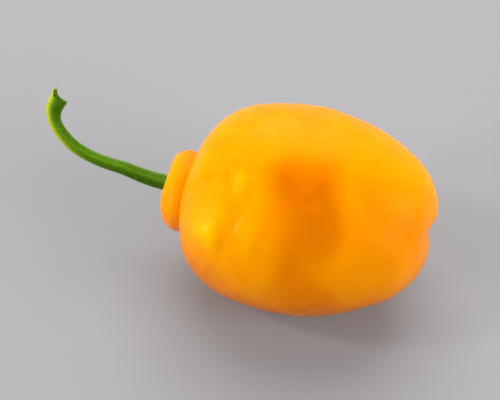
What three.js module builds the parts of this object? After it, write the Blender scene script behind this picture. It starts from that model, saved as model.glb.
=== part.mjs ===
// A rocoto pepper as picked, lying on its side: the fruit with the ring-shaped collar round its stem
// end, the calyx seated in the collar's well, and the pedicel that curls up from the calyx to the torn
// end where it left the branch. Millimetres, +Z up. The fruit's axis runs along X, with its stem end
// towards -X and its blossom end towards +X. The origin is under the middle of the whole object, on the
// surface that it lies on.
import * as THREE from "three";

// Driving dimensions.
const fruit = {
  length: 78, // from the collar's crest to the blossom end
  radius: 30, // at the widest section
  restFlat: 0.9, // how much of the underside is pressed flat where the fruit rests
  around: 60, // columns of the mesh
  spanRows: 2, // rows of the mesh between two points of the outline
};
const collar = { radius: 11.9, wellDepth: 4.8, creaseDepth: 7.7 };
const calyx = { radius: 5.1, toothLength: 0.7, teeth: 5, neckRadius: 2.3, neckDepth: 2.2, around: 30 };
const pedicel = {
  rootRadius: 2.2,
  midRadius: 1.65,
  endRadius: 2.35,
  ridges: 5,
  ridgeHeight: 0.06, // as a share of the radius
  spike: 2.3, // length of the torn splinter at the free end
  around: 15,
  steps: 40,
};
const gap = 0.3; // between pieces that grew together, so that each stays a solid of its own

const stemEnd = -fruit.length / 2;
const crease = stemEnd + collar.creaseDepth;
const blossomEnd = fruit.length / 2;
const { degToRad, lerp, smoothstep } = THREE.MathUtils;

// Angles round the axis start at +Y and turn towards +Z. Three furrows, with angles and widths in degrees,
// part the fruit into unequal lobes.
const furrows = [
  { angle: 136, width: 32, bodyDepth: 0.5, endDepth: 0.55 },
  { angle: 232, width: 17, bodyDepth: 0.4, endDepth: 1 },
  { angle: 313, width: 16, bodyDepth: 0.6, endDepth: 1.5 },
];

// The larger knolls of the shoulder: x, angle, half length, half width in degrees, and height.
const knolls = [
  [-21.8, 153, 4, 9, 1],
  [-19.5, 138, 6, 11, 0.5],
  [-10.5, 146, 2.4, 14, 0.45],
  [-20, 226, 5, 14, 0.5],
  [-15, 285, 4, 12, 0.5],
  [-18, 40, 5, 14, 0.5],
];

// A bell-shaped rise round the axis: 1 at its centre angle, fading over its width.
function bell(angle, centreDegrees, widthDegrees) {
  const turn = angle - degToRad(centreDegrees);
  const away = Math.atan2(Math.sin(turn), Math.cos(turn));
  return Math.exp(-((away / degToRad(widthDegrees)) ** 2));
}

// A rise along the axis: 1 at its centre, fading over its width.
function hump(x, centre, width) {
  return Math.exp(-(((x - centre) / width) ** 2));
}

// Closes rings of points into one solid's surface, with a single point before the first and after the last.
function closedSurface(rings, firstPole, lastPole) {
  const around = rings[0].length;
  const points = [firstPole, ...rings.flat(), lastPole];
  const last = points.length - 1;
  const at = (ring, column) => 1 + ring * around + (column % around);
  const faces = [];
  for (let column = 0; column < around; column++) {
    faces.push(0, at(0, column + 1), at(0, column));
    for (let ring = 0; ring < rings.length - 1; ring++) {
      const [a, b] = [at(ring, column), at(ring, column + 1)];
      const [c, d] = [at(ring + 1, column), at(ring + 1, column + 1)];
      faces.push(a, b, d, a, d, c);
    }
    faces.push(last, at(rings.length - 1, column), at(rings.length - 1, column + 1));
  }
  const surface = new THREE.BufferGeometry().setFromPoints(points);
  surface.setIndex(faces);
  surface.computeVertexNormals();
  return surface;
}

// The fruit's outline from the floor of the well, over the collar's crest and the crease behind it, along
// the body to the scar at the blossom end, as points (x, distance from the axis).
function fruitOutline() {
  const onCollar = (depth, share) => new THREE.Vector2(stemEnd + depth, share * collar.radius);
  const onBody = (station, share) => new THREE.Vector2(station * blossomEnd, share * fruit.radius);
  const { wellDepth, creaseDepth } = collar;
  return [
    onCollar(wellDepth, 0),
    onCollar(wellDepth, 0.22),
    onCollar(0.88 * wellDepth, 0.44),
    onCollar(0.42 * wellDepth, 0.58),
    onCollar(0.02 * wellDepth, 0.7),
    onCollar(0.15 * wellDepth, 0.825),
    onCollar(0.3 * creaseDepth, 0.935),
    onCollar(0.56 * creaseDepth, 0.995),
    onCollar(0.8 * creaseDepth, 0.99),
    onCollar(0.96 * creaseDepth, 0.985),
    onBody(-0.797, 0.405),
    onBody(-0.785, 0.465),
    onBody(-0.762, 0.55),
    onBody(-0.73, 0.63),
    onBody(-0.68, 0.72),
    onBody(-0.6, 0.81),
    onBody(-0.46, 0.902),
    onBody(-0.27, 0.972),
    onBody(-0.04, 1.003),
    onBody(0.18, 0.99),
    onBody(0.39, 0.922),
    onBody(0.58, 0.825),
    onBody(0.75, 0.705),
    onBody(0.88, 0.555),
    onBody(0.962, 0.385),
    onBody(0.995, 0.235),
    onBody(0.99, 0.12),
    onBody(0.968, 0.045),
    onBody(0.965, 0),
  ];
}

// How far the skin stands out from the outline: a broad oval section, furrows that deepen towards the
// blossom end, knolls on the shoulder, a flatter front, a flatter lobe at the blossom end, soft lobes on the
// collar, whose outside lies a little up and back, and a shallower crease at the front. It fades out where
// the outline meets the axis.
function swelling(x, radius, angle) {
  const onBody = smoothstep(x, crease, crease + 14);
  const onCollar = 1 - smoothstep(x, crease - 2.5, crease + 2.5);
  const nearBlossomEnd = hump(x, blossomEnd, 13);
  let height = 0.6 * onBody * Math.cos(2 * (angle - degToRad(41)));
  for (const furrow of furrows) {
    const depth = furrow.bodyDepth * onBody + furrow.endDepth * nearBlossomEnd;
    height -= depth * bell(angle, furrow.angle, furrow.width);
  }
  for (const [station, centre, halfLength, halfWidth, rise] of knolls) {
    height += rise * hump(x, station, halfLength) * bell(angle, centre, halfWidth);
  }
  height -= 0.8 * hump(x, 1.5, 10) * bell(angle, 160, 52);
  height -= 1.2 * nearBlossomEnd * bell(angle, 182, 42);
  height += 0.4 * onCollar * Math.cos(3 * (angle - degToRad(150)));
  height += 0.35 * onCollar * Math.cos(2 * (angle - degToRad(41)));
  height += 0.8 * onCollar * smoothstep(radius, 9, 11.5) * Math.cos(angle - degToRad(50));
  height += 0.9 * hump(x, crease - 1, 2.5) * bell(angle, 140, 50);
  return smoothstep(radius, 0, 6) * height;
}

// How far the skin near the crease lies towards the stem end, where one shoulder covers the collar. The
// well inside the collar stays as it is.
function shoulderReach(x, radius, angle) {
  return 2 * smoothstep(radius, 8.5, 11.5) * hump(x, crease + 1.5, 7) * bell(angle, 222, 58);
}

function makeFruit() {
  const outline = fruitOutline();
  const curve = new THREE.SplineCurve(outline);
  const rowCount = (outline.length - 1) * fruit.spanRows;
  const restLevel = fruit.restFlat - fruit.radius;
  const rings = [];
  for (let row = 1; row < rowCount; row++) {
    const point = curve.getPoint(row / rowCount);
    const along = curve.getTangent(row / rowCount);
    const ring = [];
    for (let column = 0; column < fruit.around; column++) {
      const angle = (2 * Math.PI * column) / fruit.around;
      const height = swelling(point.x, point.y, angle);
      const x = point.x - along.y * height - shoulderReach(point.x, point.y, angle);
      const radius = point.y + along.x * height;
      const z = Math.max(radius * Math.sin(angle), restLevel);
      ring.push(new THREE.Vector3(x, radius * Math.cos(angle), z));
    }
    rings.push(ring);
  }
  const firstPole = new THREE.Vector3(outline.at(0).x, 0, 0);
  const lastPole = new THREE.Vector3(outline.at(-1).x, 0, 0);
  return closedSurface(rings, firstPole, lastPole);
}

// The neck and the pedicel stand a little off the fruit's axis.
const neckOffset = new THREE.Vector3(0, 1.5, 1.2);

// The calyx is a thin saucer with five blunt teeth, and a short neck that leans towards the pedicel.
function makeCalyx() {
  const floor = collar.wellDepth - gap;
  const { around, neckDepth, neckRadius, radius, teeth, toothLength } = calyx;
  const profile = [
    // depth below the collar's crest, distance from the axis, share of a tooth, share of the neck's offset
    [neckDepth, neckRadius, 0, 1],
    [floor - 2, 1.1 * neckRadius, 0, 0.8],
    [floor - 1.6, 0.56 * radius, 0, 0.4],
    [floor - 1.5, 0.68 * radius, 0, 0.1],
    [floor - 1.7, 0.85 * radius, 0.4, 0],
    [floor - 2.1, radius, 1, 0],
    [floor - 1.4, radius, 1, 0],
    [floor - 0.8, 0.86 * radius, 0.5, 0],
    [floor - 0.25, 0.62 * radius, 0, 0],
    [floor, 0.3 * radius, 0, 0],
  ];
  const rings = profile.map(([depth, distance, tooth, lean]) => {
    const ring = [];
    for (let column = 0; column < around; column++) {
      const angle = (2 * Math.PI * column) / around;
      const reach = distance + tooth * toothLength * Math.max(0, Math.cos(teeth * angle));
      const point = new THREE.Vector3(stemEnd + depth, reach * Math.cos(angle), reach * Math.sin(angle));
      ring.push(point.addScaledVector(neckOffset, lean));
    }
    return ring;
  });
  const neckTop = new THREE.Vector3(stemEnd + neckDepth, 0, 0).add(neckOffset);
  const underside = new THREE.Vector3(stemEnd + floor, 0, 0);
  return closedSurface(rings, neckTop, underside);
}

// The pedicel's centre line, from the calyx's neck: out along the axis, then up and back in an open hook.
function pedicelLine() {
  const root = new THREE.Vector3(stemEnd + calyx.neckDepth - gap, 0, 0).add(neckOffset);
  const route = [
    [0, 0, 0],
    [-1.6, 0, 0.1],
    [-3.4, 0, 0.6],
    [-7.2, -0.2, 1.6],
    [-11.2, -0.5, 3.3],
    [-15.1, -0.8, 5.3],
    [-19.1, -1, 6.5],
    [-23.1, -1.1, 8],
    [-26.9, -0.9, 9.9],
    [-30, -0.5, 12.2],
    [-33, 0.5, 15.6],
    [-34.9, 2.1, 18.6],
    [-35.2, 4.1, 21.2],
    [-34.1, 6.2, 23.4],
  ];
  return new THREE.CatmullRomCurve3(route.map((offset) => new THREE.Vector3(...offset).add(root)));
}

// The pedicel's section is a circle with five soft ridges, one of them up and to the front all the way. It
// thickens at the root and flares at the free end, which tore off with a splinter on the hook's outer side.
function makePedicel() {
  const line = pedicelLine();
  const front = new THREE.Vector3(0, -0.6, 0.8);
  const { around, endRadius, midRadius, ridgeHeight, ridges, rootRadius, spike, steps } = pedicel;
  const rings = [];
  for (let step = 0; step <= steps; step++) {
    const share = step / steps;
    const centre = line.getPointAt(share);
    const along = line.getTangentAt(share);
    const up = front.clone().projectOnPlane(along).normalize();
    const side = along.clone().cross(up);
    const taper = lerp(rootRadius, midRadius, smoothstep(share, 0, 0.6));
    const flare = (endRadius - midRadius) * smoothstep(share, 0.82, 1);
    const ring = [];
    for (let column = 0; column < around; column++) {
      const angle = (2 * Math.PI * column) / around;
      const radius = (taper + flare) * (1 + ridgeHeight * Math.cos(ridges * angle));
      const splinter = share < 1 ? 0 : spike * bell(angle, 270, 40);
      const point = centre.clone().addScaledVector(up, radius * Math.cos(angle));
      ring.push(point.addScaledVector(side, radius * Math.sin(angle)).addScaledVector(along, splinter));
    }
    rings.push(ring);
  }
  return closedSurface(rings, line.getPointAt(0), line.getPointAt(1));
}

function piece(name, geometry, color, roughness) {
  const material = new THREE.MeshStandardMaterial({ color, roughness, metalness: 0 });
  const mesh = new THREE.Mesh(geometry, material);
  mesh.name = name;
  return mesh;
}

const pepper = new THREE.Group();
pepper.add(
  piece("fruit", makeFruit(), 0xfaa208, 0.35),
  piece("calyx", makeCalyx(), 0x6a9a1e, 0.55),
  piece("pedicel", makePedicel(), 0x5a9410, 0.5),
);

// The origin goes to the middle of the object's base.
const extent = new THREE.Box3().setFromObject(pepper, true);
const middle = extent.getCenter(new THREE.Vector3());
for (const mesh of pepper.children) mesh.position.set(-middle.x, -middle.y, -extent.min.z);

export default pepper;
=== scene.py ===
"""A ripe rocoto pepper, picked with its stalk and laid on its side.

The fruit, the calyx and the pedicel are surfaces of two parameters, worked out in millimetres round the
fruit's own middle, with the axis along X and the blossom end towards +X. Each one is then set into the box
of the node that it stands for. Angles round the axis start at +Y and turn towards +Z.
"""

import bpy
import numpy as np
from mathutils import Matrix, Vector


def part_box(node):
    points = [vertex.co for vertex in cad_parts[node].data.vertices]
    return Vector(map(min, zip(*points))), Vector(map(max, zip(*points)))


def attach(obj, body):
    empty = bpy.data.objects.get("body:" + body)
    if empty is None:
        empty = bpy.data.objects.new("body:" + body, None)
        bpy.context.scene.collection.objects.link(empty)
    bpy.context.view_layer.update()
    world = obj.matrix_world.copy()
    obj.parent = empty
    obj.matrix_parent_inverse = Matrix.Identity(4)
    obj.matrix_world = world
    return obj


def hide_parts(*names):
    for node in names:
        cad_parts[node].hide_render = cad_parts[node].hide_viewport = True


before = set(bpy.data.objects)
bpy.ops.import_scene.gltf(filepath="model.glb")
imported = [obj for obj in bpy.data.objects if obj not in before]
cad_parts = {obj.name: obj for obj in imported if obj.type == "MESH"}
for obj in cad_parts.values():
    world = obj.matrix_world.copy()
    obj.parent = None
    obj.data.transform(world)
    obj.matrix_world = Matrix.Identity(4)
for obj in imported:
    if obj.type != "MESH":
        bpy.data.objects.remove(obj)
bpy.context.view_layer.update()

MILLIMETRE = 0.001


# ---------------------------------------------------------------- shared shapes

def smooth_step(value, low, high):
    """0 up to low, 1 from high on, and 3s^2 - 2s^3 of the share s between them."""
    share = np.clip((value - low) / (high - low), 0.0, 1.0)
    return share * share * (3.0 - 2.0 * share)


def bell(angle, centre, width):
    """exp(-(d / width)^2), where d is the shorter way round from centre to angle. Both are in degrees."""
    turn = angle - np.radians(centre)
    away = np.degrees(np.arctan2(np.sin(turn), np.cos(turn)))
    return np.exp(-(away / width) ** 2)


def hump(value, centre, width):
    """exp(-((value - centre) / width)^2)."""
    return np.exp(-((value - centre) / width) ** 2)


def smooth_line(points, count):
    """A Catmull-Rom curve through points, at count even steps of its parameter. Between two points it is
    the cubic with their neighbours' differences, halved, as its slopes. The end points repeat."""
    points = np.asarray(points, float)
    padded = np.vstack([points[:1], points, points[-1:]])
    place = np.linspace(0.0, len(points) - 1.0, count)
    span = np.minimum(place.astype(int), len(points) - 2)
    t = (place - span)[:, None]
    before, start, end, after = (padded[span + k] for k in range(4))
    slope_in = (end - before) / 2.0
    slope_out = (after - start) / 2.0
    bend = 2.0 * start - 2.0 * end + slope_in + slope_out
    lift = -3.0 * start + 3.0 * end - 2.0 * slope_in - slope_out
    return ((bend * t + lift) * t + slope_in) * t + start


def unit(vectors):
    """Each vector divided by its length."""
    return vectors / np.linalg.norm(vectors, axis=-1, keepdims=True)


def soft_noise(points, wavelength, seed, waves=28):
    """The mean of sine waves of about one wavelength, each in a direction and phase of its own, scaled to
    run mostly between -1 and 1."""
    draw = np.random.default_rng(seed)
    directions = unit(draw.normal(size=(waves, 3)))
    pace = 2.0 * np.pi / wavelength * draw.uniform(0.7, 1.4, waves)
    phase = draw.uniform(0.0, 2.0 * np.pi, waves)
    angle = points @ (directions * pace[:, None]).T + phase
    return np.sin(angle).sum(axis=-1) * np.sqrt(2.0 / waves) * 0.6


def fit_to_box(points, node):
    """Points in millimetres, moved and scaled along each axis to fill the node's box, in metres."""
    low, high = (np.array(corner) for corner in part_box(node))
    own_low = points.min(axis=0)
    own_high = points.max(axis=0)
    return low + (points - own_low) / (own_high - own_low) * (high - low)


def closed_mesh(name, rings, first_pole, last_pole, fields=None):
    """A mesh over rings of points, closed with a fan at each end. rings has the shape (rings, columns, 3),
    and each array in fields gives a value for every point of the rings."""
    ring_count, around = rings.shape[:2]
    points = np.vstack([first_pole[None], rings.reshape(-1, 3), last_pole[None]])
    at = 1 + np.arange(ring_count * around).reshape(ring_count, around)
    beside = np.roll(at, -1, axis=1)
    quads = np.stack([at[:-1], beside[:-1], beside[1:], at[1:]], axis=-1).reshape(-1, 4)
    first_fan = np.stack([np.zeros(around, int), beside[0], at[0]], axis=-1)
    last_fan = np.stack([np.full(around, len(points) - 1), at[-1], beside[-1]], axis=-1)
    mesh = bpy.data.meshes.new(name)
    mesh.from_pydata(points.tolist(), [], quads.tolist() + first_fan.tolist() + last_fan.tolist())
    for label, values in (fields or {}).items():
        layer = mesh.attributes.new(label, "FLOAT", "POINT")
        filled = np.concatenate([[values[0].mean()], values.ravel(), [values[-1].mean()]])
        layer.data.foreach_set("value", filled.astype(np.float32))
    mesh.polygons.foreach_set("use_smooth", np.ones(len(mesh.polygons), bool))
    mesh.update()
    piece = bpy.data.objects.new(name, mesh)
    bpy.context.scene.collection.objects.link(piece)
    return piece


# ---------------------------------------------------------------- the fruit

HALF_LENGTH = 39.0
BODY_RADIUS = 30.0
COLLAR_RADIUS = 11.9
WELL_DEPTH = 4.8
CREASE_DEPTH = 7.7
REST_FLAT = 0.9
STEM_END = -HALF_LENGTH
CREASE = STEM_END + CREASE_DEPTH

# Angle round the axis, width in degrees, depth along the body and depth at the blossom end.
FURROWS = [(136, 32, 0.5, 0.55), (232, 17, 0.4, 1.0), (313, 16, 0.6, 1.5)]

# Knolls and dimples of the shoulder: station, angle, half length, half width in degrees, and height.
KNOLLS = [(-21.8, 153, 4.0, 9, 1.0), (-19.5, 138, 6.0, 11, 0.5), (-16.9, 155, 1.8, 8, -0.55),
          (-10.5, 146, 2.4, 14, 0.45), (-17.7, 116, 1.7, 6, -0.5), (-14.4, 119, 2.4, 7, 0.7),
          (-15.5, 138, 2.2, 8, -0.35), (-6.5, 157, 2.5, 10, -0.3), (-12.0, 121, 1.0, 5, -0.35),
          (-20.0, 226, 5.0, 14, 0.5), (-15.0, 285, 4.0, 12, 0.5), (-18.0, 40, 5.0, 14, 0.5),
          (-13.0, 12, 3.0, 9, -0.4)]


def fruit_outline(count):
    """The fruit's outline as (x, distance from the axis): a smooth line from the floor of the well, over
    the collar's crest and the crease behind it, along the body to the scar at the blossom end."""
    on_collar = [(1.0, 0, 0.0), (1.0, 0, 0.22), (0.88, 0, 0.44), (0.42, 0, 0.58), (0.02, 0, 0.7),
                 (0.15, 0, 0.825), (0, 0.3, 0.935), (0, 0.56, 0.995), (0, 0.8, 0.99), (0, 0.96, 0.985)]
    on_body = [(-0.797, 0.405), (-0.785, 0.465), (-0.762, 0.55), (-0.73, 0.63), (-0.68, 0.72), (-0.6, 0.81),
               (-0.46, 0.902), (-0.27, 0.972), (-0.04, 1.003), (0.18, 0.99), (0.39, 0.922), (0.58, 0.825),
               (0.75, 0.705), (0.88, 0.555), (0.962, 0.385), (0.995, 0.235), (0.99, 0.12), (0.968, 0.045),
               (0.965, 0.0)]
    line = [(STEM_END + well * WELL_DEPTH + crease * CREASE_DEPTH, share * COLLAR_RADIUS)
            for well, crease, share in on_collar]
    line += [(station * HALF_LENGTH, share * BODY_RADIUS) for station, share in on_body]
    return smooth_line(line, count)


def shoulder_reach(x, radius, angle):
    """How far the skin near the crease lies towards the stem end, where one shoulder covers the collar. The
    well inside the collar stays as it is."""
    off_well = smooth_step(radius, 8.5, 11.5)
    return 2.0 * off_well * hump(x, CREASE + 1.5, 7.0) * bell(angle, 222.0, 58.0)


def fruit_swelling(x, radius, angle):
    """How far the skin stands out from the outline: a broad oval section, furrows that deepen towards the
    blossom end, a flatter front, a flatter lobe at the blossom end, soft lobes on the collar, whose outside
    lies a little up and back, and a shallower crease at the front. It fades out towards the axis."""
    on_body = smooth_step(x, CREASE, CREASE + 14.0)
    on_collar = 1.0 - smooth_step(x, CREASE - 2.5, CREASE + 2.5)
    near_blossom_end = hump(x, HALF_LENGTH, 13.0)
    height = 0.6 * on_body * np.cos(2.0 * (angle - np.radians(41.0)))
    for centre, width, body_depth, end_depth in FURROWS:
        height -= (body_depth * on_body + end_depth * near_blossom_end) * bell(angle, centre, width)
    height -= 0.8 * hump(x, 1.5, 10.0) * bell(angle, 160.0, 52.0)
    height -= 1.2 * near_blossom_end * bell(angle, 182.0, 42.0)
    height += 0.4 * on_collar * np.cos(3.0 * (angle - np.radians(150.0)))
    height += 0.35 * on_collar * np.cos(2.0 * (angle - np.radians(41.0)))
    height += 0.8 * on_collar * smooth_step(radius, 9.0, 11.5) * np.cos(angle - np.radians(50.0))
    height += 0.9 * hump(x, CREASE - 1.0, 2.5) * bell(angle, 140.0, 50.0)
    return smooth_step(radius, 0.0, 6.0) * height


def knoll_height(x, angle):
    """The sum of the knolls and dimples, each a hump along the axis times a bell round it."""
    return sum(rise * hump(x, station, length) * bell(angle, centre, width)
               for station, centre, length, width, rise in KNOLLS)


def fruit_relief(x, radius, angle, points):
    """The small forms of the skin: unevenness of three widths, the shoulder's knolls and dimples, slanting
    ripples between them, and puckers that run into the well and into the scar."""
    on_body = smooth_step(x, CREASE + 1.0, CREASE + 9.0)
    off_axis = smooth_step(radius, 1.0, 6.0)
    height = 0.28 * soft_noise(points, 30.0, 4) + 0.13 * soft_noise(points, 13.0, 5)
    height = off_axis * (height + 0.025 * on_body * soft_noise(points, 5.0, 10))
    height += knoll_height(x, angle)
    slant = x + 3.5 * angle + 1.2 * soft_noise(points, 14.0, 6)
    patches = np.clip(0.1 + soft_noise(points, 9.0, 7), 0.0, 1.0)
    rippled = hump(x, CREASE + 14.0, 10.0) * on_body
    height += 0.15 * rippled * patches * np.sin(2.0 * np.pi * slant / 4.0)
    in_well = 1.0 - smooth_step(x - STEM_END + 2.0 * (radius - 8.4), -1.0, 4.0)
    well_puckers = np.cos(11.0 * angle + 1.5 * np.sin(2.0 * angle))
    height += 0.10 * in_well * smooth_step(radius, 2.0, 6.0) * well_puckers
    near_scar = hump(x, HALF_LENGTH, 3.0) * smooth_step(radius, 0.5, 2.5) * hump(radius, 3.0, 4.0)
    scar_puckers = np.cos(9.0 * angle + np.sin(3.0 * angle))
    return height + 0.16 * near_scar * scar_puckers


def make_fruit():
    """The outline carried round the axis and pushed out along its normal by the swelling and the relief.
    Below the resting level the skin is pressed flat, with a soft edge."""
    rows, around = 244, 384
    line = fruit_outline(rows + 2)
    along = unit(np.gradient(line, axis=0))
    angle = np.linspace(0.0, 2.0 * np.pi, around, endpoint=False)[None, :]
    x, radius = line[1:-1, :1], line[1:-1, 1:]
    out_x, out_radius = -along[1:-1, 1:], along[1:-1, :1]
    bare = np.stack([x + 0 * angle, radius * np.cos(angle), radius * np.sin(angle)], axis=-1)
    swelling = fruit_swelling(x, radius, angle)
    relief = fruit_relief(x, radius, angle, bare)
    height = swelling + relief
    new_x = x + out_x * height - shoulder_reach(x, radius, angle)
    new_radius = radius + out_radius * height
    z = new_radius * np.sin(angle)
    rest = REST_FLAT - BODY_RADIUS
    softness = 0.12
    z = rest + softness * np.logaddexp(0.0, (z - rest) / softness)
    rings = np.stack([new_x, new_radius * np.cos(angle), z], axis=-1)
    poles = np.array([[line[0, 0], 0.0, 0.0], [line[-1, 0], 0.0, 0.0]])
    points = fit_to_box(np.vstack([rings.reshape(-1, 3), poles]), "fruit")
    scar = hump(x, HALF_LENGTH, 3.0) * hump(radius, 0.0, 1.3) + 0 * angle
    # The fields carry painted shade in the creases, the well and down the front, and painted highlights on
    # the knolls.
    fields = {"painted_crease_shade": crease_shade_field(x, radius, angle), "front_shade": front_shade_field(x, angle, bare),
              "painted_knoll_highlight": np.clip(knoll_height(x, angle), 0.0, 1.0), "scar": scar}
    piece = closed_mesh("pepper_fruit", points[:-2].reshape(rings.shape), points[-2], points[-1], fields)
    piece.data.materials.append(skin_material())
    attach(piece, "root")
    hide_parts("fruit")
    return piece


def crease_shade_field(x, radius, angle):
    """The share of painted shade: 1 in the crease behind the collar and in the well, and a part of that
    along the furrows.
    """
    crease = 0.25 * hump(x, CREASE - 0.6, 2.6) * (1.0 - smooth_step(radius, 15.0, 21.0))
    well = (1.0 - smooth_step(radius, 4.0, 9.5)) * (x < 0)
    field = crease + well + 0 * angle
    for centre, width, _, _ in FURROWS:
        field = field + 0.35 * bell(angle, centre, width) * smooth_step(x, CREASE + 20.0, HALF_LENGTH)
    return np.clip(field, 0.0, 1.0)


def front_shade_field(x, angle, points):
    """The share of painted shade, as deeper colour in a stripe that runs down the front from near the top.
    Both its edges wander, it narrows on the way down, and it fades underneath."""
    place = x - 2.5 + 3.0 * soft_noise(points, 24.0, 8)
    turn = np.degrees(angle) + 5.0 * soft_noise(points, 20.0, 9)
    down = np.clip((turn - 112.0) / 40.0, 0.0, 1.0)
    left = smooth_step(place - 4.0 * down, -12.0, -1.0)
    right = 1.0 - smooth_step(place + 2.0 * down, 5.0, 14.0)
    fade = (1.0 - 0.25 * smooth_step(turn, 118.0, 145.0)) * (1.0 - smooth_step(turn, 180.0, 250.0))
    return left * right * smooth_step(turn, 90.0, 114.0) * fade


# ---------------------------------------------------------------- node helpers

def new_material(name):
    """A material with an empty tree but for a Principled shader and its output."""
    material = bpy.data.materials.new(name)
    material.use_nodes = True
    tree = material.node_tree
    return material, tree, tree.nodes["Principled BSDF"]


def add_node(tree, kind, inputs=None, **settings):
    """A node of a kind with its settings, and with inputs that are values or the sockets to link."""
    node = tree.nodes.new(kind)
    for key, value in settings.items():
        setattr(node, key, value)
    for key, value in (inputs or {}).items():
        socket = node.inputs[key]
        if isinstance(value, bpy.types.NodeSocket):
            tree.links.new(value, socket)
        else:
            socket.default_value = value
    return node


def object_point(tree):
    """The place on the piece's surface, in metres."""
    return add_node(tree, "ShaderNodeTexCoord").outputs["Object"]


def noise(tree, point, scale, detail=3.0, roughness=0.5):
    """Smooth noise between 0 and 1, with scale features to the metre."""
    inputs = {"Vector": point, "Scale": scale, "Detail": detail, "Roughness": roughness}
    return add_node(tree, "ShaderNodeTexNoise", inputs).outputs["Fac"]


def ramp(tree, value, low, high, from_value=0.0, to_value=1.0):
    """from_value up to low and to_value from high on, with a smooth step between."""
    inputs = {"Value": value, "From Min": low, "From Max": high, "To Min": from_value, "To Max": to_value}
    node = add_node(tree, "ShaderNodeMapRange", inputs, interpolation_type="SMOOTHSTEP")
    return node.outputs["Result"]


def mix_colour(tree, share, first, second):
    """first where share is 0, second where it is 1, and a blend between. Each is a value or a socket."""
    node = add_node(tree, "ShaderNodeMix", data_type="RGBA")
    for index, value in ((0, share), (6, first), (7, second)):
        if isinstance(value, bpy.types.NodeSocket):
            tree.links.new(value, node.inputs[index])
        else:
            node.inputs[index].default_value = value
    return node.outputs[2]


def calculate(tree, operation, first, second):
    """One arithmetic operation on two values or sockets."""
    return add_node(tree, "ShaderNodeMath", {0: first, 1: second}, operation=operation).outputs[0]


# ---------------------------------------------------------------- finishes

def skin_material():
    """Ripe skin: golden orange, yellower towards the top and back, partly its own colour and partly painted
    light;
    pale yellow painted highlights on the knolls; painted shade in deeper orange underneath, in the creases
    and the well, and in a stripe down the front; with a waxy gloss, faint mottling and fine pores."""
    material, tree, shader = new_material("ripe_skin")
    point = object_point(tree)
    axes = add_node(tree, "ShaderNodeSeparateXYZ", {0: point}).outputs
    yellow_and_painted_light = (0.92, 0.325, 0.0, 1.0)
    golden = (0.90, 0.305, 0.0, 1.0)
    crease_shade_colour = (0.90, 0.15, 0.0, 1.0)
    painted_underside_shade = (0.64, 0.135, 0.0, 1.0)
    front_shade_colour = (0.66, 0.15, 0.0, 1.0)
    knoll_highlight_yellow = (0.97, 0.48, 0.0, 1.0)
    speckled = (0.90, 0.22, 0.0, 1.0)
    brown = (0.16, 0.07, 0.02, 1.0)
    # Partly painted light: the skin turns yellower towards the top and back, where the light falls, as well
    # as by its own colour.
    height = calculate(tree, "ADD", axes["Z"], calculate(tree, "MULTIPLY", axes["Y"], 0.45))
    wander = calculate(tree, "MULTIPLY", noise(tree, point, 38.0), 0.018)
    share = ramp(tree, calculate(tree, "ADD", height, wander), 0.012, 0.062)
    colour = mix_colour(tree, share, golden, yellow_and_painted_light)
    # Painted shade: deeper orange towards the bottom, where the skin turns away from the light.
    painted_shade_below = ramp(tree, calculate(tree, "ADD", axes["Z"], wander), 0.024, 0.046, 1.0, 0.0)
    colour = mix_colour(tree, painted_shade_below, colour, painted_underside_shade)
    # Painted shade: deeper orange in the crease behind the collar, in the well and along the furrows.
    painted_crease_shade = add_node(tree, "ShaderNodeAttribute", attribute_name="painted_crease_shade").outputs["Fac"]
    colour = mix_colour(tree, painted_crease_shade, colour, crease_shade_colour)
    # Painted shade: a stripe of deeper orange down the front.
    front_shade = add_node(tree, "ShaderNodeAttribute", attribute_name="front_shade").outputs["Fac"]
    colour = mix_colour(tree, front_shade, colour, front_shade_colour)
    # Painted highlights: pale yellow on the shoulder's knolls.
    painted_knoll_highlight = add_node(tree, "ShaderNodeAttribute", attribute_name="painted_knoll_highlight").outputs["Fac"]
    colour = mix_colour(tree, painted_knoll_highlight, colour, knoll_highlight_yellow)
    mottle = ramp(tree, noise(tree, point, 140.0, 5.0, 0.6), 0.42, 0.68, 0.0, 0.3)
    colour = mix_colour(tree, mottle, colour, speckled)
    scar = add_node(tree, "ShaderNodeAttribute", attribute_name="scar").outputs["Fac"]
    colour = mix_colour(tree, ramp(tree, scar, 0.25, 0.7), colour, brown)
    tree.links.new(colour, shader.inputs["Base Color"])
    wax = ramp(tree, noise(tree, point, 90.0, 4.0), 0.3, 0.7, 0.22, 0.32)
    tree.links.new(wax, shader.inputs["Roughness"])
    shader.inputs["Specular IOR Level"].default_value = 0.06
    shader.inputs["Specular Tint"].default_value = (1.0, 0.75, 0.0, 1.0)
    shader.inputs["Subsurface Weight"].default_value = 0.25
    shader.inputs["Subsurface Radius"].default_value = (1.0, 0.45, 0.05)
    shader.inputs["Subsurface Scale"].default_value = 0.003
    pores = noise(tree, point, 1500.0, 2.0)
    bump = add_node(tree, "ShaderNodeBump", {"Height": pores, "Strength": 0.04, "Distance": 0.0002})
    tree.links.new(bump.outputs["Normal"], shader.inputs["Normal"])
    return material


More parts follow.
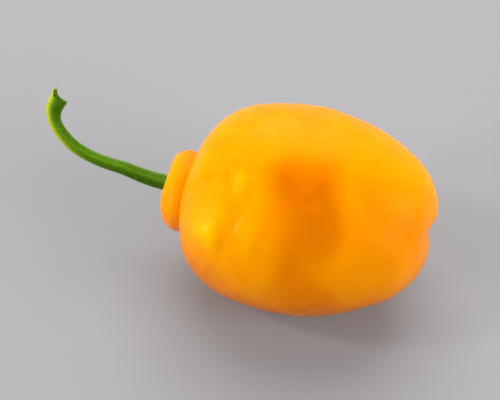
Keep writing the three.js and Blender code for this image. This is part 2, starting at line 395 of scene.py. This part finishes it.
def stalk_material():
    """Fresh green stalk: yellow-green along its outer side towards the free end, partly its own colour and
    partly painted light; painted shade in deeper green in the grooves, on the shaded sides and on the torn
    end, where the ridge attribute is low; with fine pale speckles."""
    material, tree, shader = new_material("fresh_stalk")
    point = object_point(tree)
    green = (0.085, 0.235, 0.001, 1.0)
    painted_shade_green = (0.02, 0.085, 0.001, 1.0)
    lime_and_lit_green = (0.44, 0.47, 0.004, 1.0)
    pale = (0.36, 0.45, 0.06, 1.0)
    ridge = add_node(tree, "ShaderNodeAttribute", attribute_name="ridge").outputs["Fac"]
    outer = add_node(tree, "ShaderNodeAttribute", attribute_name="outer").outputs["Fac"]
    # Painted shade: deeper green where the ridge attribute is low.
    colour = mix_colour(tree, ridge, painted_shade_green, green)
    mottled = calculate(tree, "ADD", outer, calculate(tree, "MULTIPLY", noise(tree, point, 900.0), 0.3))
    # Partly painted light: yellow-green along the outer side towards the free end, where the light falls,
    # as well as the stalk's own drying colour.
    colour = mix_colour(tree, ramp(tree, mottled, 0.3, 0.95), colour, lime_and_lit_green)
    speckles = ramp(tree, noise(tree, point, 2600.0, 3.0), 0.5, 0.72, 0.0, 0.4)
    colour = mix_colour(tree, speckles, colour, pale)
    tree.links.new(colour, shader.inputs["Base Color"])
    satin = ramp(tree, noise(tree, point, 700.0), 0.3, 0.7, 0.38, 0.52)
    tree.links.new(satin, shader.inputs["Roughness"])
    shader.inputs["Specular IOR Level"].default_value = 0.15
    shader.inputs["Specular Tint"].default_value = (0.8, 1.0, 0.2, 1.0)
    fibre = add_node(tree, "ShaderNodeBump", {"Height": noise(tree, point, 1800.0), "Strength": 0.25,
                                              "Distance": 0.0002})
    tree.links.new(fibre.outputs["Normal"], shader.inputs["Normal"])
    return material


def calyx_material():
    """Green leafy tissue, paler and drier towards the teeth."""
    material, tree, shader = new_material("calyx_green")
    point = object_point(tree)
    tooth = add_node(tree, "ShaderNodeAttribute", attribute_name="tooth").outputs["Fac"]
    green = (0.07, 0.19, 0.003, 1.0)
    light_green = (0.16, 0.3, 0.01, 1.0)
    dry = (0.42, 0.42, 0.06, 1.0)
    blotches = noise(tree, point, 600.0, 4.0)
    colour = mix_colour(tree, ramp(tree, blotches, 0.3, 0.7), green, light_green)
    colour = mix_colour(tree, ramp(tree, tooth, 0.2, 1.0), colour, dry)
    tree.links.new(colour, shader.inputs["Base Color"])
    tree.links.new(ramp(tree, blotches, 0.3, 0.7, 0.42, 0.6), shader.inputs["Roughness"])
    bump = add_node(tree, "ShaderNodeBump", {"Height": noise(tree, point, 2200.0), "Strength": 0.3,
                                             "Distance": 0.0002})
    tree.links.new(bump.outputs["Normal"], shader.inputs["Normal"])
    return material


# ---------------------------------------------------------------- calyx and pedicel

CALYX_RADIUS = 5.1
NECK_RADIUS = 2.3
NECK_DEPTH = 2.2
NECK_OFFSET = np.array([0.0, 1.5, 1.2])
PIECE_GAP = 0.3


def make_calyx():
    """A saucer with five teeth: a smooth line of (depth below the collar's crest, distance from the axis,
    share of a tooth, share of the neck's offset) carried round the axis. Ribs run out to the teeth."""
    floor = WELL_DEPTH - PIECE_GAP
    profile = smooth_line([
        (NECK_DEPTH, 0.0, 0.0, 1.0), (NECK_DEPTH, 0.8 * NECK_RADIUS, 0.0, 1.0),
        (NECK_DEPTH + 0.1, NECK_RADIUS, 0.0, 0.98), (floor - 2.0, 1.1 * NECK_RADIUS, 0.0, 0.8),
        (floor - 1.6, 0.56 * CALYX_RADIUS, 0.0, 0.4), (floor - 1.5, 0.68 * CALYX_RADIUS, 0.0, 0.1),
        (floor - 1.7, 0.85 * CALYX_RADIUS, 0.4, 0.0), (floor - 2.1, 0.99 * CALYX_RADIUS, 0.95, 0.0),
        (floor - 1.8, 1.02 * CALYX_RADIUS, 1.0, 0.0), (floor - 1.4, CALYX_RADIUS, 0.95, 0.0),
        (floor - 0.8, 0.86 * CALYX_RADIUS, 0.5, 0.0), (floor - 0.25, 0.62 * CALYX_RADIUS, 0.0, 0.0),
        (floor, 0.3 * CALYX_RADIUS, 0.0, 0.0), (floor, 0.0, 0.0, 0.0)], 92)
    around = 200
    angle = np.linspace(0.0, 2.0 * np.pi, around, endpoint=False)[None, :]
    depth, distance, tooth, lean = (profile[1:-1, k:k + 1] for k in range(4))
    point_of_tooth = np.maximum(0.0, np.cos(5.0 * angle)) ** 1.5
    reach = distance + tooth * (0.7 * point_of_tooth + 0.06 * np.sin(23.0 * angle))
    rib = 0.09 * np.abs(np.cos(5.0 * angle)) ** 6 * smooth_step(distance, 2.0, 3.0)
    rings = np.stack([STEM_END + depth - rib, reach * np.cos(angle), reach * np.sin(angle)], axis=-1)
    rings = rings + lean[:, :, None] * NECK_OFFSET
    first = np.array([STEM_END + NECK_DEPTH, 0.0, 0.0]) + NECK_OFFSET
    last = np.array([STEM_END + floor, 0.0, 0.0])
    points = fit_to_box(np.vstack([rings.reshape(-1, 3), first, last]), "calyx")
    fields = {"tooth": tooth * (0.3 + 0.7 * point_of_tooth)}
    piece = closed_mesh("pepper_calyx", points[:-2].reshape(rings.shape), points[-2], points[-1], fields)
    piece.data.materials.append(calyx_material())
    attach(piece, "root")
    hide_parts("calyx")
    return piece


# The pedicel's route from the calyx's neck: out along the axis, then up and back in an open hook.
PEDICEL_ROUTE = [(0, 0, 0), (-1.6, 0, 0.1), (-3.4, 0, 0.6), (-7.2, -0.2, 1.6), (-11.2, -0.5, 3.3),
                 (-15.1, -0.8, 5.3), (-19.1, -1, 6.5), (-23.1, -1.1, 8), (-26.9, -0.9, 9.9),
                 (-30, -0.5, 12.2), (-33, 0.5, 15.6), (-34.9, 2.1, 18.6), (-35.2, 4.1, 21.2),
                 (-34.1, 6.2, 23.4)]


def make_pedicel():
    """A ridged section carried along the route, thicker at its root and flared at its free end, which is
    torn: a splinter stands on the outer side, and the middle of the end is hollowed."""
    steps, around = 300, 120
    root = np.array([STEM_END + NECK_DEPTH - PIECE_GAP, 0.0, 0.0]) + NECK_OFFSET
    line = smooth_line(np.array(PEDICEL_ROUTE, float) + root, 1200)
    walked = np.concatenate([[0.0], np.cumsum(np.linalg.norm(np.diff(line, axis=0), axis=1))])
    share = np.linspace(0.0, 1.0, steps)
    line = np.stack([np.interp(share * walked[-1], walked, line[:, k]) for k in range(3)], axis=-1)
    along = unit(np.gradient(line, axis=0))
    front = np.array([0.0, -0.6, 0.8])
    up = unit(front - (along @ front)[:, None] * along)
    side = np.cross(along, up)
    share = share[:, None]
    angle = np.linspace(0.0, 2.0 * np.pi, around, endpoint=False)[None, :]
    taper = 2.2 + (1.65 - 2.2) * smooth_step(share, 0.0, 0.6)
    flare = (2.35 - 1.65) * smooth_step(share, 0.82, 1.0)
    ridge = 1.0 - np.abs(np.sin(2.5 * angle)) * 1.1
    radius = (taper + flare) * (1.0 + 0.13 * ridge)
    outer = bell(angle, 270.0, 40.0)
    reach = 2.3 * outer * smooth_step(share, 0.96, 1.0)
    rings = (line[:, None] + radius[..., None] * (np.cos(angle)[..., None] * up[:, None]
             + np.sin(angle)[..., None] * side[:, None]) + reach[..., None] * along[:, None])
    inner = np.array([0.85, 0.6, 0.3])[:, None, None]
    end = line[-1] + (rings[-1] - line[-1]) * inner - np.array([0.25, 0.8, 1.1])[:, None, None] * along[-1]
    rings = np.vstack([rings, end])
    last = line[-1] - 1.15 * along[-1]
    points = fit_to_box(np.vstack([rings.reshape(-1, 3), line[:1], last[None]]), "pedicel")
    # Yellow-green on the outer side towards the free end: partly the stalk's drying colour, partly painted
    # light.
    lime_and_lit_side = bell(angle, 285.0, 62.0) * smooth_step(share, 0.35, 0.95)
    # Painted shade on the inner side near the free end and on the lower side near the root.
    painted_shade_side = bell(angle, 75.0, 55.0) * smooth_step(share, 0.55, 0.9)
    painted_shade_side = painted_shade_side + 0.8 * bell(angle, 292.0, 60.0) * (1.0 - smooth_step(share, 0.35, 0.75))
    # The grooves between the ridges get a smaller green share, as painted shade, and the end rings get
    # none.
    lit_green_share = (0.7 + 0.3 * np.cos(5.0 * angle)) * (1.0 - 0.8 * painted_shade_side)
    fields = {"ridge": np.vstack([lit_green_share, np.zeros((3, around))]),
              "outer": np.vstack([lime_and_lit_side, np.full((3, around), 0.1)])}
    piece = closed_mesh("pepper_pedicel", points[:-2].reshape(rings.shape), points[-2], points[-1], fields)
    piece.data.materials.append(stalk_material())
    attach(piece, "root")
    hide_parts("pedicel")
    return piece


# ---------------------------------------------------------------- the studio

def view_directions(azimuth, elevation):
    """The right, up and back directions of a camera at an azimuth from -Y and an elevation, in degrees."""
    turn, tilt = np.radians([azimuth, elevation])
    back = np.array([np.sin(turn) * np.cos(tilt), -np.cos(turn) * np.cos(tilt), np.sin(tilt)])
    right = np.array([np.cos(turn), np.sin(turn), 0.0])
    return right, np.cross(back, right), back


def place_facing(thing, position, target):
    """Puts a light or camera at a position, with its -Z towards the target and its +Y as near to up."""
    direction = Vector(target) - Vector(position)
    thing.location = position
    thing.rotation_euler = direction.to_track_quat("-Z", "Y").to_euler()


# The camera: its angles in degrees, its distance from its aim, and how far the aim lies to the right of the
# fruit's middle and above it, in the picture.
CAMERA_AZIMUTH = 11.15
CAMERA_ELEVATION = 50.0
CAMERA_DISTANCE = 202.8 * MILLIMETRE
AIM_RIGHT = -13.94 * MILLIMETRE
AIM_UP = 2.69 * MILLIMETRE


def make_camera():
    right, up, back = view_directions(CAMERA_AZIMUTH, CAMERA_ELEVATION)
    low, high = (np.array(corner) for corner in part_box("fruit"))
    aim = (low + high) / 2.0 + AIM_RIGHT * right + AIM_UP * up
    data = bpy.data.cameras.new("camera")
    data.lens = 50.0
    data.sensor_width = 36.0
    camera = bpy.data.objects.new("camera", data)
    bpy.context.scene.collection.objects.link(camera)
    place_facing(camera, aim + CAMERA_DISTANCE * back, aim)
    data.clip_start = 0.01
    bpy.context.scene.camera = camera


def make_light(name, size, power, position, target):
    """A white disk of light, of a diameter in metres and a power in watts."""
    data = bpy.data.lights.new(name, "AREA")
    data.shape = "DISK"
    data.size = size
    data.energy = power
    light = bpy.data.objects.new(name, data)
    bpy.context.scene.collection.objects.link(light)
    place_facing(light, position, target)


def make_studio():
    """A broad light from behind, softer ones from both sides, two small windows that the skin's gloss shows
    on the left, and a grey surround that is brighter behind and above."""
    centre = (0.015, 0.0, 0.03)
    make_light("sky_back", 1.4, 17.0, (-0.1, 0.75, 1.1), centre)
    make_light("left_side", 0.8, 4.5, (-1.0, -0.3, 0.3), centre)
    make_light("left_window", 0.16, 6.0, (-0.95, -0.6, 0.2), centre)
    make_light("left_high", 0.16, 2.5, (-0.8, -0.25, 0.85), centre)
    make_light("right_side", 0.8, 9.5, (1.0, -0.25, 0.4), centre)
    world = bpy.data.worlds.new("studio")
    world.use_nodes = True
    tree = world.node_tree
    direction = add_node(tree, "ShaderNodeTexCoord").outputs["Generated"]
    back_and_up = (0.0, 0.8, 0.6)
    facing = add_node(tree, "ShaderNodeVectorMath", {0: direction, 1: back_and_up}, operation="DOT_PRODUCT")
    strength = ramp(tree, facing.outputs["Value"], -0.7, 0.9, 0.1, 0.5)
    tree.links.new(strength, tree.nodes["Background"].inputs["Strength"])
    tree.nodes["Background"].inputs["Color"].default_value = (1.0, 1.0, 1.0, 1.0)
    bpy.context.scene.world = world
    bpy.context.scene.view_settings.view_transform = "Standard"


def make_floor():
    """A square of matt pale grey paper."""
    size = 4.0
    corners = [(-size, -size, 0.0), (size, -size, 0.0), (size, size, 0.0), (-size, size, 0.0)]
    mesh = bpy.data.meshes.new("floor")
    mesh.from_pydata(corners, [], [(0, 1, 2, 3)])
    floor = bpy.data.objects.new("floor", mesh)
    bpy.context.scene.collection.objects.link(floor)
    material, _, shader = new_material("floor_paper")
    shader.inputs["Base Color"].default_value = (0.31, 0.31, 0.32, 1.0)
    shader.inputs["Roughness"].default_value = 0.9
    mesh.materials.append(material)


make_camera()
make_studio()
make_floor()
make_fruit()
make_calyx()
make_pedicel()
